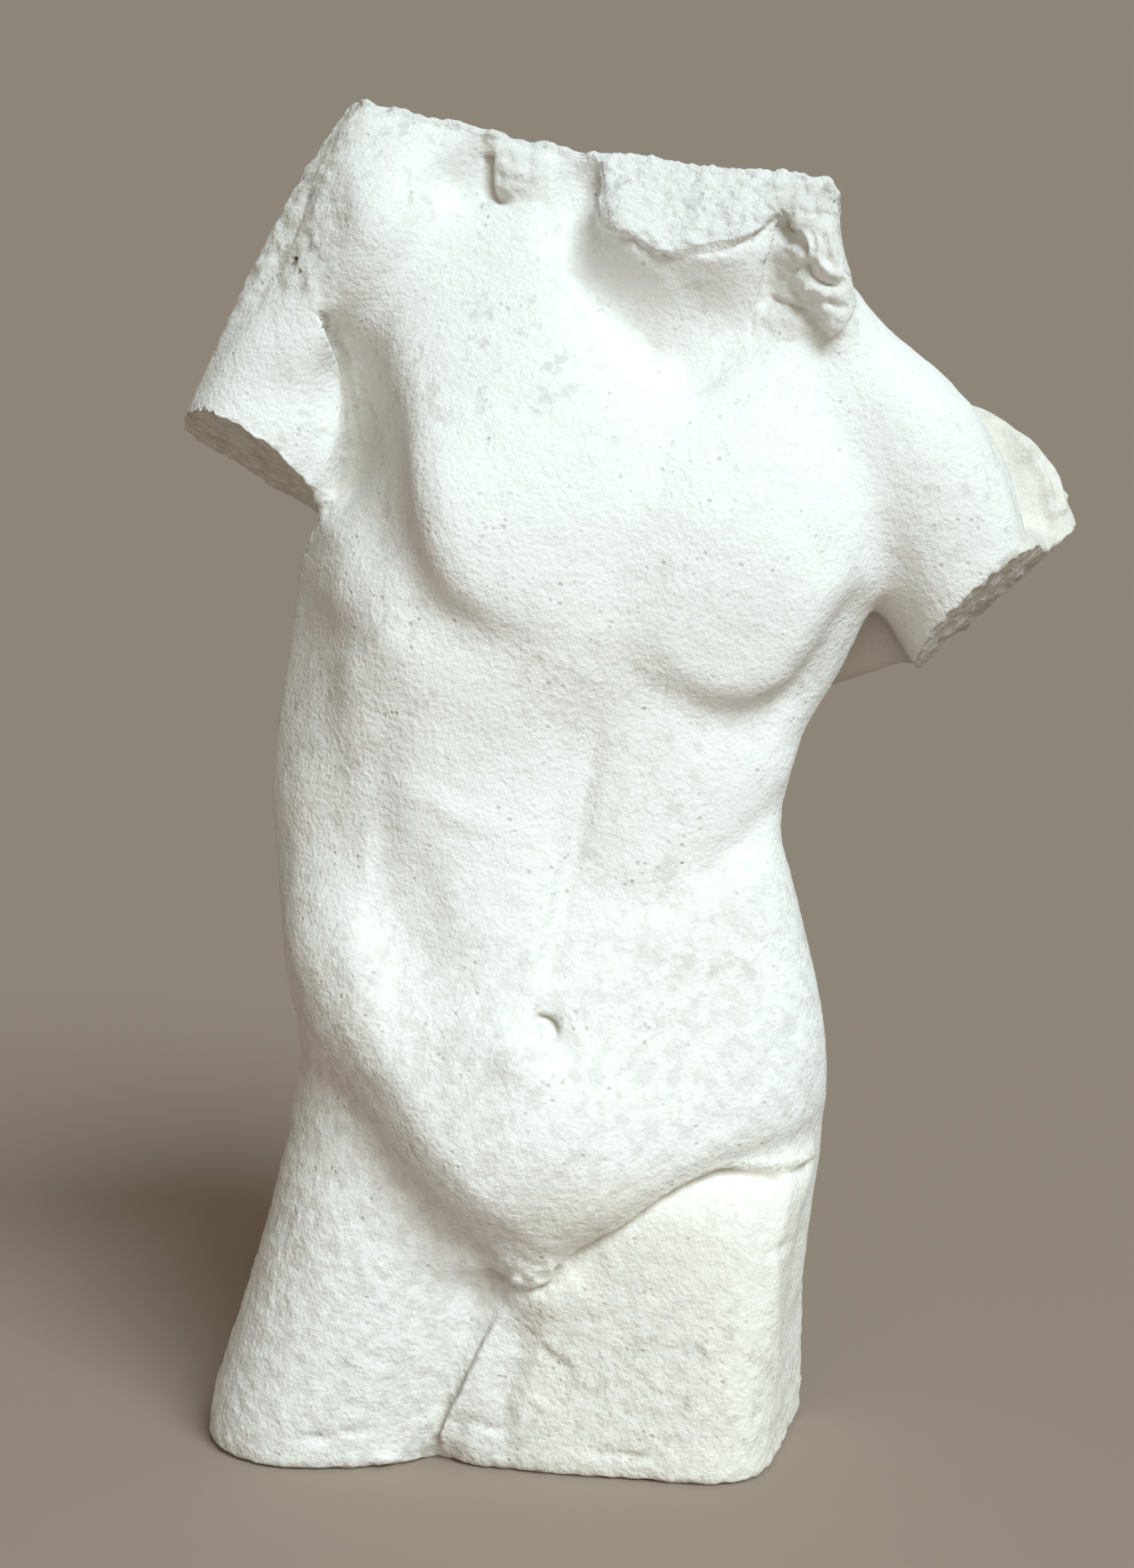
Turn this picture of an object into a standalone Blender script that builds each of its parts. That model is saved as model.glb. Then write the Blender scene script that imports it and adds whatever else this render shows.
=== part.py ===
"""Plaster cast of a youth's torso, from the middle of the thighs to the broken neck.

The cast is one piece. It faces -Y, and left and right are the figure's own, so its
left side is at +X. The origin is in the middle of the sawn base, on the table.
"""

import math

import bpy
import numpy as np
from mathutils import Matrix, Vector, noise

# Driving size, in metres: from the sawn base to the top of the right shoulder
HEIGHT = 0.66

# Pose, proportions and carving below are in hundredths of the height
UNIT = HEIGHT / 100

# Fineness of the model
RING_POINTS = 72
SPAN_STEPS = 6
SKIN_VOXEL = 0.6
BLEND_PASSES = 7
SOFTEN_PASSES = 2
TRIANGLES = 9200

PLASTER_COLOUR = (0.86, 0.84, 0.80, 1.0)
PLASTER_ROUGHNESS = 0.9

# A rib is a closed section of the body. It gives the right edge (x, z) and the left
# edge (x, z) as the front view shows them, the depth of its front and of its back (y),
# how square it is (2 is an ellipse) and how far it turns towards the left, in degrees.
TRUNK = [
    (-15.6, 16.0, 23.2, 11.0, -10.2, 12.0, 2.3, -6),
    (-15.4, 23.0, 23.8, 17.5, -11.6, 13.2, 2.3, -3),
    (-15.1, 30.0, 24.5, 25.5, -12.0, 12.2, 2.4, 2),
    (-15.9, 36.0, 24.1, 33.0, -11.7, 9.6, 2.5, 6),
    (-16.4, 42.5, 22.2, 41.6, -10.8, 8.0, 2.6, 10),
    (-17.0, 49.0, 20.9, 47.2, -10.4, 8.2, 2.7, 13),
    (-16.7, 54.5, 22.5, 53.4, -10.8, 10.2, 2.8, 15),
    (-15.9, 60.0, 25.2, 58.0, -11.6, 12.4, 2.9, 16),
    (-15.1, 66.5, 27.4, 62.5, -12.2, 13.8, 2.9, 16),
    (-14.2, 73.5, 29.6, 67.5, -11.8, 14.2, 2.8, 16),
    (-12.6, 81.0, 31.0, 73.0, -9.8, 13.8, 2.6, 15),
    (-11.0, 88.0, 29.5, 80.0, -6.8, 12.8, 2.4, 12),
    (-10.0, 94.5, 25.2, 88.5, -3.8, 11.6, 2.3, 8),
    (-8.8, 101.0, 21.5, 97.5, -1.8, 10.2, 2.3, 5),
    (-7.8, 106.0, 19.5, 103.5, -0.4, 9.0, 2.3, 5),
]
RIGHT_THIGH = [
    (-22.3, -4.0, -2.6, -4.0, -7.9, 9.0, 2.3, 4),
    (-22.2, 2.0, -2.2, 2.0, -8.2, 9.8, 2.3, 4),
    (-20.4, 8.0, -0.4, 7.0, -8.7, 10.6, 2.3, 3),
    (-18.3, 14.5, 2.0, 11.0, -8.9, 11.4, 2.3, 2),
    (-16.2, 22.5, 4.0, 16.0, -8.8, 12.4, 2.3, 0),
    (-14.8, 29.0, 6.0, 22.5, -7.6, 10.8, 2.2, 0),
    (-10.0, 36.0, 8.0, 30.0, -3.0, 6.0, 2.0, 0),
]
LEFT_THIGH = [
    (-4.2, -4.0, 23.4, -4.0, -10.8, 10.2, 6.5, -14),
    (-3.8, 2.0, 23.5, 2.0, -10.9, 10.4, 6.5, -14),
    (-2.6, 7.5, 23.6, 8.0, -11.2, 11.0, 6.0, -14),
    (-0.8, 12.0, 23.6, 14.0, -11.4, 12.0, 5.0, -12),
    (1.0, 17.0, 23.7, 19.0, -11.0, 12.6, 3.8, -8),
    (3.0, 24.0, 24.0, 24.6, -9.2, 10.8, 2.6, 0),
    (6.0, 31.0, 19.0, 31.0, -3.0, 6.0, 2.0, 0),
]
RIGHT_ARM = [
    (-9.5, 101.5, 3.0, 95.0, -2.4, 9.4, 2.2, 0),
    (-13.0, 97.0, -2.0, 91.0, -4.2, 9.4, 2.2, 0),
    (-16.3, 91.5, -6.0, 86.0, -5.4, 9.0, 2.2, 0),
    (-19.2, 85.8, -9.6, 80.6, -5.6, 8.2, 2.2, 0),
    (-21.4, 80.8, -11.2, 75.6, -5.4, 7.4, 2.2, 0),
    (-23.4, 76.2, -13.2, 69.9, -5.0, 7.2, 2.2, 0),
]
LEFT_ARM = [
    (17.0, 68.0, 25.0, 88.5, -5.0, 11.0, 2.3, 0),
    (21.5, 66.0, 28.4, 84.0, -6.2, 11.6, 2.3, 0),
    (26.0, 64.8, 32.6, 80.4, -6.6, 11.4, 2.3, 0),
    (28.6, 62.4, 36.0, 76.6, -6.0, 10.0, 2.3, 0),
    (30.2, 60.2, 38.4, 72.2, -5.2, 8.8, 2.3, 0),
    (31.5, 58.2, 40.2, 65.9, -4.8, 8.2, 2.3, 0),
]
WING_ROOT = [
    (16.0, 54.0, 20.0, 84.0, 6.0, 12.6, 2.6, 0),
    (22.5, 55.6, 28.0, 82.0, 5.4, 12.6, 2.6, 0),
    (28.0, 57.4, 34.2, 79.2, 3.8, 11.8, 2.6, 0),
    (31.0, 58.6, 39.2, 75.6, 2.0, 10.6, 2.6, 0),
    (32.6, 59.2, 43.6, 68.9, 1.4, 9.8, 2.6, 0),
]
NECK = [
    (6.6, 74.0, 20.4, 72.0, -1.0, 12.0, 2.2, 10),
    (6.8, 80.0, 20.2, 78.5, -4.6, 10.8, 2.3, 10),
    (6.9, 84.0, 20.0, 83.0, -6.4, 10.0, 2.5, 8),
    (6.9, 88.0, 20.2, 87.0, -7.8, 9.2, 2.6, 5),
    (7.0, 93.0, 20.4, 92.0, -9.2, 8.4, 2.6, 5),
    (7.0, 101.0, 20.6, 100.0, -10.6, 7.6, 2.6, 5),
]
LEFT_LOCK = [
    (19.0, 99.0, 25.0, 99.0, -6.6, 5.0, 2.4, 0),
    (19.4, 93.5, 25.0, 93.8, -6.2, 4.4, 2.4, 0),
    (20.8, 89.8, 24.8, 89.8, -6.4, 3.4, 2.3, 0),
    (20.4, 87.0, 25.6, 86.8, -6.8, 2.8, 2.3, 0),
    (21.8, 84.6, 26.1, 84.4, -7.2, 2.4, 2.2, 0),
    (23.8, 82.0, 25.4, 82.0, -7.0, 1.6, 2.2, 0),
]
BETWEEN_THIGHS = [
    (-9.0, -4.0, 3.0, -4.0, -4.0, 7.2, 2.0, 0),
    (-8.0, 4.0, 5.0, 4.0, -4.4, 8.0, 2.0, 0),
    (-7.0, 12.0, 9.0, 11.0, -5.6, 9.6, 2.0, 0),
    (-6.0, 19.0, 10.0, 18.0, -5.0, 8.6, 2.0, 0),
]

# A buttock is an ellipsoid: centre (x, y, z) and half sizes
BUTTOCKS = [
    ((-5.4, 4.6, 21.0), (9.6, 9.8, 12.0)),
    ((12.6, 4.6, 17.6), (9.8, 9.8, 12.0)),
]

# Breaks: a point on the broken face, the way out of the body, how rough the face is and
# how much it curves (its rise at ten hundredths from the middle). An arm and the wing
# root break at their last ribs, and are skinned a little past the break before the cut.
TOP_BREAK = dict(point=(6.5, 4, 95.1), out=(0.19, 0.08, 1), rough=0.4, bow=0.41)
NECK_BREAK = dict(point=(13.6, -5.2, 91.3), out=(0.03, -1.7, 1), rough=0.5)
BASE_CUT = dict(point=(0, 0, 0), out=(0, 0, -1))
LIMB_ROUGHNESS = 0.5
PAST_BREAK = 2.5

# The blocks that cut the breaks: the width of a large one, what a small one has to spare
# beside a limb and beside the trunk, the cells of a rough side and the size of its lumps
BLOCK_SIZE = 90
LIMB_SPARE = 7.5
TRUNK_SPARE = 0.3
BREAK_CELL = 1.8
BREAK_LUMP = 3.0


def curve_through(rows, steps):
    """Points on a smooth curve through the rows, in steps to each span."""
    rows = np.array(rows, float)
    ends = np.vstack([2 * rows[0] - rows[1], rows, 2 * rows[-1] - rows[-2]])
    t = np.linspace(0, 1, steps, endpoint=False)[:, None]
    spans = []
    for a, b, c, d in zip(ends, ends[1:], ends[2:], ends[3:]):
        slope = (c - a) / 2
        bend = a - 2.5 * b + 2 * c - d / 2
        twist = 1.5 * (b - c) + (d - a) / 2
        spans.append(b + slope * t + bend * t ** 2 + twist * t ** 3)
    return np.vstack(spans + [rows[-1:]])


def ring(rib):
    """The closed section that a rib describes."""
    right_x, right_z, left_x, left_z, front, back, square, turn = rib
    angle = np.linspace(0, 2 * math.pi, RING_POINTS, endpoint=False)
    u = np.sign(np.cos(angle)) * np.abs(np.cos(angle)) ** (2 / square)
    v = np.sign(np.sin(angle)) * np.abs(np.sin(angle)) ** (2 / square)
    turn = math.radians(turn)
    x = u * math.cos(turn) - v * math.sin(turn)
    y = u * math.sin(turn) + v * math.cos(turn)
    x /= np.abs(x).max()
    y /= np.abs(y).max()
    share = (x + 1) / 2
    return np.column_stack([
        right_x + share * (left_x - right_x),
        (front + back) / 2 + y * (back - front) / 2,
        right_z + share * (left_z - right_z),
    ])


def add_loft(points, faces, ribs):
    """Skin the ribs and close both ends."""
    rings = [ring(rib) for rib in curve_through(ribs, SPAN_STEPS)]
    start = len(points)
    points.extend(np.vstack(rings) * UNIT)
    for row in range(len(rings) - 1):
        for side in range(RING_POINTS):
            beside = (side + 1) % RING_POINTS
            low = start + row * RING_POINTS
            high = low + RING_POINTS
            faces.append((low + side, low + beside, high + beside, high + side))
    last = start + (len(rings) - 1) * RING_POINTS
    faces.append(tuple(range(start + RING_POINTS - 1, start - 1, -1)))
    faces.append(tuple(range(last, last + RING_POINTS)))


def edges(rib):
    """The right and the left edge of a rib, in the plane of the front view."""
    return Vector((rib[0], 0, rib[1])), Vector((rib[2], 0, rib[3]))


def broken_end(first_limb, last_limb):
    """Where limbs that share one break end: its two edges and the way out of the body."""
    right = edges(first_limb[-1])[0]
    left = edges(last_limb[-1])[1]
    way = sum(edges(first_limb[-1]), Vector()) - sum(edges(first_limb[-2]), Vector())
    along = (left - right).normalized()
    out = (way - along * way.dot(along)).normalized()
    return right, left, out


RIGHT_END = broken_end(RIGHT_ARM, RIGHT_ARM)
LEFT_END = broken_end(LEFT_ARM, WING_ROOT)


def past_break(limb, out):
    """The limb with one more rib past its break, a little smaller."""
    right, left = edges(limb[-1])
    middle = (right + left) / 2
    ends = [middle + (end - middle) * 0.85 + out * PAST_BREAK for end in (right, left)]
    return limb + [(ends[0].x, ends[0].z, ends[1].x, ends[1].z) + limb[-1][4:]]


def smooth_step(low, high, value):
    """0 below low, 1 above high, and smooth between."""
    share = np.clip((value - low) / (high - low), 0, 1)
    return share * share * (3 - 2 * share)


class Clay:
    """The skin of the figure, worked with strokes in hundredths of the height.

    A stroke is placed as the front view shows it, by (x, z), and works only on the
    side that it is made for: -1 is the front and +1 the back.
    """

    def __init__(self, mesh):
        self.mesh = mesh
        self.read()

    def read(self):
        count = len(self.mesh.vertices)
        points = np.empty(count * 3, np.float32)
        normals = np.empty(count * 3, np.float32)
        self.mesh.vertices.foreach_get("co", points)
        self.mesh.vertex_normals.foreach_get("vector", normals)
        self.points = points.reshape(-1, 3).astype(float) / UNIT
        self.normals = normals.reshape(-1, 3).astype(float)
        self.rise = np.zeros(count)

    def settle(self):
        """Move the skin by the strokes made so far."""
        self.points += self.normals * self.rise[:, None]
        self.mesh.vertices.foreach_set("co", (self.points * UNIT).astype(np.float32).ravel())
        self.mesh.update()
        self.read()

    def facing(self, side):
        return smooth_step(-0.05, 0.4, self.normals[:, 1] * side)

    def beside(self, path, ends):
        """Distance to a path, positive on its left hand, and a weight that fades at its ends."""
        path = curve_through(path, SPAN_STEPS)
        place = self.points[:, [0, 2]]
        nearest = np.full(len(place), np.inf)
        signed = np.zeros(len(place))
        along = np.zeros(len(place))
        lengths = np.linalg.norm(np.diff(path, axis=0), axis=1)
        before = np.concatenate([[0], np.cumsum(lengths)])
        for start, step, length, done in zip(path, np.diff(path, axis=0), lengths, before):
            offset = place - start
            share = np.clip(offset @ step / length ** 2, 0, 1)
            gap = offset - share[:, None] * step
            distance = np.hypot(gap[:, 0], gap[:, 1])
            closer = distance < nearest
            left = step[0] * offset[:, 1] - step[1] * offset[:, 0]
            nearest[closer] = distance[closer]
            signed[closer] = (distance * np.where(left < 0, -1, 1))[closer]
            along[closer] = (done + share * length)[closer]
        total = before[-1]
        weight = smooth_step(-0.3, 1, along / (ends[0] * total + 1e-6))
        weight *= smooth_step(-0.3, 1, (total - along) / (ends[1] * total + 1e-6))
        return signed, weight

    def furrow(self, path, depth, width, side=-1, ends=(0.25, 0.25)):
        """A groove with soft walls. A negative depth makes a ridge."""
        distance, weight = self.beside(path, ends)
        self.rise -= depth * np.exp(-(distance / width) ** 2) * weight * self.facing(side)

    def fold(self, path, lip, reach, drop, foot, side=-1, ends=(0.25, 0.25)):
        """A form that ends in a crease: it swells on the path's left hand."""
        distance, weight = self.beside(path, ends)
        edge = smooth_step(0, 0.3 * reach, distance)
        swell = lip * edge * np.exp(-(distance / reach) ** 2)
        crease = drop * np.where(distance > 0, 1 - edge, np.exp(-(distance / foot) ** 2))
        self.rise += (swell - crease) * weight * self.facing(side)

    def swell(self, centre, size, rise, side=-1, lean=0):
        """A soft oval mound. A negative rise makes a hollow."""
        lean = math.radians(lean)
        x = self.points[:, 0] - centre[0]
        z = self.points[:, 2] - centre[1]
        u = (x * math.cos(lean) + z * math.sin(lean)) / size[0]
        v = (z * math.cos(lean) - x * math.sin(lean)) / size[1]
        self.rise += rise * np.exp(-(u * u + v * v)) * self.facing(side)


def carve_chest(clay):
    clay.swell((-0.5, 71), (8, 9), 0.5, lean=-20)
    clay.swell((17.5, 66), (9, 8.5), 0.9, lean=-20)
    right_border = [(-7.4, 78), (-6.9, 71), (-5.8, 66.6), (-4.2, 63.4), (-1.4, 61.4), (3, 60), (7.4, 59.6)]
    left_border = [(10.4, 58.6), (12.8, 56.6), (16, 55.3), (19, 55.3), (21.6, 57), (24, 60.4), (26.4, 64)]
    clay.fold(right_border, lip=1.0, reach=5.5, drop=0.8, foot=2.8, ends=(0.3, 0.6))
    clay.fold(left_border, lip=0.8, reach=6, drop=0.8, foot=2.8, ends=(0.7, 0.1))
    clay.furrow([(13.4, 80), (11.2, 73.2), (9.4, 67), (7.6, 61.2)], depth=0.35, width=2.4)
    clay.furrow([(-11.2, 83), (-10.6, 77), (-9.8, 71), (-8.4, 65)], depth=1.4, width=2.0)
    clay.furrow([(28.4, 63.6), (27.2, 68), (25.6, 73), (24.4, 78)], depth=0.7, width=2.2)


def carve_shoulders(clay):
    clay.swell((-8.4, 90), (3.6, 6.5), 0.9, lean=-10)
    clay.swell((-1.6, 93.4), (4.4, 3), -0.6)
    clay.furrow([(-9.6, 98), (-11.6, 92), (-12.2, 86)], depth=0.5, width=1.8)
    clay.furrow([(5.4, 96), (5.8, 90), (7.6, 84), (12.8, 80.2), (17.6, 82.4), (20.2, 86.4)], depth=0.9, width=1.3)
    clay.furrow([(35.4, 77.4), (37.4, 74.4), (38.7, 70.8), (39, 67)], depth=0.7, width=0.9)
    for step in range(3):
        clay.furrow([(0.2 + 1.5 * step, 97), (0.1 + 1.4 * step, 92.2)], depth=-0.9, width=0.7, ends=(0, 0.3))


def carve_belly(clay):
    clay.furrow([(6.6, 58.5), (5.2, 50), (4.9, 43), (4.1, 36)], depth=0.6, width=1.5)
    clay.furrow([(-4.4, 50), (-6, 44), (-6.2, 38), (-4, 31)], depth=0.5, width=2.6)
    clay.swell((-5.4, 43.4), (3.4, 4), 0.35, lean=20)
    clay.swell((7.6, 43), (3.2, 4), -0.45)
    clay.furrow([(20, 47.6), (15, 44.6), (10.4, 42)], depth=0.35, width=1.8)
    clay.furrow([(15.8, 44), (16.4, 38), (15.4, 32), (12.4, 26)], depth=0.3, width=2.6)
    clay.swell((3.5, 27.5), (11, 8), 1.2, lean=-12)
    clay.swell((-11.4, 36), (2.8, 5), 1.1, lean=24)
    clay.swell((19.6, 31), (4.6, 5), 0.6, lean=-30)
    clay.swell((3.9, 33.2), (1.3, 1.5), -1.3)
    clay.swell((1.6, 32), (2.4, 2.4), 0.4)


def carve_ribs(clay):
    for step in range(4):
        clay.swell((-11.2 + 0.7 * step, 63 - 4.4 * step), (2.2, 1.5), 0.5, lean=-32)
    for step in range(3):
        clay.swell((20.8 - 0.6 * step, 54.6 - 3.4 * step), (2.2, 1.4), 0.3, lean=24)
    clay.furrow([(-7.8, 57), (-9, 50), (-9.4, 43), (-8.6, 38)], depth=0.6, width=1.8)


def carve_hips(clay):
    right_groin = [(-15, 33.6), (-12.8, 30), (-10, 26), (-6.4, 21.8), (-3.2, 18.2), (-0.6, 15.2), (1.6, 13.6)]
    left_groin = [(4.2, 15.6), (6.6, 18.2), (9.6, 20.4), (13, 22.4), (16.6, 23.6), (20.4, 24.1), (25, 25)]
    clay.fold(right_groin, lip=0.8, reach=4.6, drop=1.0, foot=3.6, ends=(0.1, 0.05))
    clay.fold(left_groin, lip=0.7, reach=4.6, drop=0.9, foot=2.4, ends=(0.05, 0.2))
    clay.swell((1.9, 16), (2.6, 2), 0.8)
    clay.furrow([(1.6, 12.4), (0, 10), (-1.4, 7.4), (-2.6, 4.6), (-4.4, -2)], depth=0.7, width=1.3, ends=(0.05, 0))


def carve_back(clay):
    clay.furrow([(14.4, 88), (12.6, 76), (9.4, 62), (7.2, 48), (5.6, 36), (4.6, 29)],
                depth=1.4, width=2.4, side=1)
    clay.furrow([(4.6, 29), (3.9, 24), (3.4, 19), (2.8, 14)], depth=1.4, width=1.7, side=1, ends=(0.3, 0.2))
    clay.swell((0.5, 76), (5.6, 8.6), 1.2, side=1, lean=-8)
    clay.swell((22, 70), (5.6, 8), 1.2, side=1, lean=-30)
    clay.swell((-1.2, 44), (3.4, 11), 0.8, side=1, lean=-6)
    clay.swell((13.2, 42), (3.4, 11), 0.8, side=1, lean=-6)
    clay.fold([(-16, 11), (-11, 9.6), (-6, 9.4), (0, 12)], lip=0.6, reach=5, drop=0.8, foot=3.4, side=1)
    clay.fold([(4.4, 9), (9, 6.4), (14, 6), (20, 7.6)], lip=0.6, reach=5, drop=0.8, foot=3.4, side=1)


def applied(figure):
    """Put the figure's modifiers into its mesh."""
    depsgraph = bpy.context.evaluated_depsgraph_get()
    mesh = bpy.data.meshes.new_from_object(figure.evaluated_get(depsgraph))
    figure.modifiers.clear()
    old = figure.data
    figure.data = mesh
    bpy.data.meshes.remove(old)


def add_buttock(points, faces, centre, size):
    """An ellipsoid, as a loft of round sections."""
    levels = np.linspace(-math.pi / 2 + 0.12, math.pi / 2 - 0.12, 9)
    x, y, z = centre
    ribs = []
    for level in levels:
        half = math.cos(level)
        height = z + size[2] * math.sin(level)
        ribs.append((x - size[0] * half, height, x + size[0] * half, height,
                     y - size[1] * half, y + size[1] * half, 2.0, 0))
    add_loft(points, faces, ribs)


def make_figure(collection, material):
    """All masses of the body in one skin."""
    points = []
    faces = []
    for ribs in (TRUNK, RIGHT_THIGH, LEFT_THIGH, BETWEEN_THIGHS, NECK, LEFT_LOCK):
        add_loft(points, faces, ribs)
    add_loft(points, faces, past_break(RIGHT_ARM, RIGHT_END[2]))
    add_loft(points, faces, past_break(LEFT_ARM, LEFT_END[2]))
    add_loft(points, faces, past_break(WING_ROOT, LEFT_END[2]))
    for centre, size in BUTTOCKS:
        add_buttock(points, faces, centre, size)
    mesh = bpy.data.meshes.new("torso")
    mesh.from_pydata([tuple(point) for point in points], [], faces)
    mesh.materials.append(material)
    figure = bpy.data.objects.new("torso", mesh)
    collection.objects.link(figure)

    skin = figure.modifiers.new("Skin", "REMESH")
    skin.mode = "VOXEL"
    skin.voxel_size = SKIN_VOXEL * UNIT
    blend = figure.modifiers.new("Blend", "SMOOTH")
    blend.factor = 0.5
    blend.iterations = BLEND_PASSES
    applied(figure)
    return figure


def carve(figure):
    clay = Clay(figure.data)
    for work in (carve_chest, carve_belly, carve_back, carve_ribs, carve_shoulders, carve_hips):
        work(clay)
        clay.settle()
    soften = figure.modifiers.new("Soften", "SMOOTH")
    soften.factor = 0.5
    soften.iterations = SOFTEN_PASSES


def reduce(figure):
    """Keep the form in few triangles."""
    triangles = sum(len(face.vertices) - 2 for face in figure.data.polygons)
    fewer = figure.modifiers.new("Fewer faces", "DECIMATE")
    fewer.ratio = TRIANGLES / triangles
    applied(figure)


def break_off(figure, collection, name, point, out, rough=0, bow=0, width=BLOCK_SIZE, depth=BLOCK_SIZE / 3):
    """Cut away what lies beyond a broken face, with a block whose near side is that face."""
    cells = round(width / BREAK_CELL) if rough else 1
    bpy.ops.mesh.primitive_grid_add(x_subdivisions=cells, y_subdivisions=cells, size=width * UNIT)
    block = bpy.context.object
    block.name = name
    for vertex in block.data.vertices:
        place = vertex.co / UNIT
        lump = noise.noise(place / BREAK_LUMP + Vector(point))
        vertex.co.z = (rough * lump + bow * (place.x / 10) ** 2) * UNIT
    thick = block.modifiers.new("Depth", "SOLIDIFY")
    thick.thickness = depth * UNIT
    thick.offset = 1
    up = Vector(out).normalized()
    across = (Vector((1, 0, 0)) - up * up.x).normalized()
    turn = Matrix((across, up.cross(across), up)).transposed().to_4x4()
    block.matrix_world = Matrix.Translation(Vector(point) * UNIT) @ turn
    for home in block.users_collection:
        home.objects.unlink(block)
    collection.objects.link(block)
    block.hide_render = True
    block.display_type = "WIRE"
    cut = figure.modifiers.new(name, "BOOLEAN")
    cut.operation = "DIFFERENCE"
    cut.solver = "EXACT"
    cut.object = block


def break_limb(figure, collection, name, end, right_spare, left_spare):
    """Break a limb off from edge to edge, with some of the block to spare beyond each."""
    right, left, out = end
    along = (left - right).normalized()
    right = right - along * right_spare
    left = left + along * left_spare
    break_off(figure, collection, name, (right + left) / 2, out, rough=LIMB_ROUGHNESS,
              width=(left - right).length, depth=2 * PAST_BREAK)


def make_plaster():
    plaster = bpy.data.materials.new("Plaster")
    plaster.use_nodes = True
    shader = plaster.node_tree.nodes["Principled BSDF"]
    shader.inputs["Base Color"].default_value = PLASTER_COLOUR
    shader.inputs["Roughness"].default_value = PLASTER_ROUGHNESS
    shader.inputs["Metallic"].default_value = 0
    plaster.diffuse_color = PLASTER_COLOUR
    return plaster


def new_collection(name):
    collection = bpy.data.collections.new(name)
    bpy.context.scene.collection.children.link(collection)
    return collection


def main():
    for old in list(bpy.data.objects):
        bpy.data.objects.remove(old, do_unlink=True)
    figure = make_figure(new_collection("Plaster torso"), make_plaster())
    carve(figure)
    reduce(figure)
    cutters = new_collection("Cutters")
    break_off(figure, cutters, "Top break", **TOP_BREAK)
    break_off(figure, cutters, "Neck break", **NECK_BREAK)
    break_limb(figure, cutters, "Right arm break", RIGHT_END, LIMB_SPARE, TRUNK_SPARE)
    break_limb(figure, cutters, "Left arm break", LEFT_END, LIMB_SPARE / 3, LIMB_SPARE)
    break_off(figure, cutters, "Base cut", **BASE_CUT)


main()
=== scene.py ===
"""Looks of the plaster torso: its skin worked again in fine relief, and its plaster.

Places on the body are in hundredths of the cast's height, as (x, z) in the front view.
The cast faces -Y, and left and right are the figure's own, so its left side is at +X.
"""

import math

import bpy
import numpy as np
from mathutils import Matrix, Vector, noise


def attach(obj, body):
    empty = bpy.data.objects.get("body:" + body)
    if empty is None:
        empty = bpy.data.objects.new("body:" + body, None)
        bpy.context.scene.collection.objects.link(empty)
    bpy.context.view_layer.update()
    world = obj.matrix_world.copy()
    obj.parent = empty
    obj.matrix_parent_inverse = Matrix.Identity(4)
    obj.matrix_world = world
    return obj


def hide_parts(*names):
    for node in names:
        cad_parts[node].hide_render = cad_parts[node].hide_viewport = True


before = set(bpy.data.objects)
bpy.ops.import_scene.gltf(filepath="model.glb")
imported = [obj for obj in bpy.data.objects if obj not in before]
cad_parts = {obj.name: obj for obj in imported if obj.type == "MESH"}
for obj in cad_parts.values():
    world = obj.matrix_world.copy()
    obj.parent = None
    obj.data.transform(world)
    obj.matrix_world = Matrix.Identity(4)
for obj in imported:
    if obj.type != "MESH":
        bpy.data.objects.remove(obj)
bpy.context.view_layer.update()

# A hundredth of the cast's height, in metres
UNIT = 0.0066

# Fineness of the skin, in metres where it is a length
MERGE_DISTANCE = 0.00001
SKIN_VOXEL = 0.0013
TRIANGLES = 192000

# How often each smoothing runs, and how far one run goes
SMOOTH_PASSES = 100
SOFT_PASSES = 220
BLUR_PASSES = 16
SMOOTH_FACTOR = 0.5

# Weights of a vertex group come in whole levels from 0 to this
WEIGHT_LEVELS = 10

# Places where the solid's strokes are too hard: x, z, width and height
SOFT_PLACES = [
    (4, 60, 9, 4), (-6.5, 72, 3.6, 9), (-10, 26, 5, 5), (-5, 19.5, 5, 5), (10, 20, 4, 3),
    (16, 22.5, 5, 3), (22, 23.5, 4, 3), (26, 75, 3.5, 9), (-12.4, 68, 1.4, 2.2),
    (24, 60, 4, 4), (20.6, 87, 2.6, 3.4), (1.4, 93.6, 2.2, 1.8), (1, 12, 3.5, 3), (0, 7, 3, 5),
    (-9, 80.8, 2.6, 3.4), (19.5, 24.6, 6, 3.6), (-9.6, 50, 3, 11), (2, 15.5, 3.4, 2.2),
    (3.6, 13, 5, 2.6), (-0.6, 6, 3.4, 6), (-9.8, 75, 2.8, 7), (-11.8, 82.6, 1.8, 2.4)]

# Breaks: a point on the face, the way out of the body and its bow. An arm has two faces,
# first the solid's own and then one that slants to the front.
TOP_BREAK = ((6.5, 4, 95.1), (0.19, 0.08, 1), 0.41)
CORNER_BREAK = ((24.7, 0, 93.1), (0.78, -0.1, 0.62), 0)
RIGHT_ARM_BREAKS = [((-18.3, 0, 73.05), (-0.525, 0, -0.851), 0),
                    ((-18.3, 2, 73.05), (-0.5, -0.31, -0.81), 0)]
LEFT_ARM_BREAKS = [((37.55, 0, 63.55), (0.6625, 0, -0.749), 0),
                   ((37.55, 2.4, 63.55), (0.63, -0.33, -0.71), 0)]

# The left arm lies beyond this x
LEFT_ARM = 29

# How far the roughness of the top may rise over its break
TOP_SPARE = 0.35

# Lower edge of the broken neck
NECK_EDGE = [(7.6, 95.4), (7.0, 93), (7.2, 91.9), (7.5, 90.1), (8.1, 89.3), (9.6, 88.7),
             (11.0, 87.8), (12.1, 87.5), (13.2, 87.8), (14.9, 88.2), (16.9, 88.5),
             (18.7, 89.2), (19.9, 90.5), (22.3, 90.6), (25, 90.7)]

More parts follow.
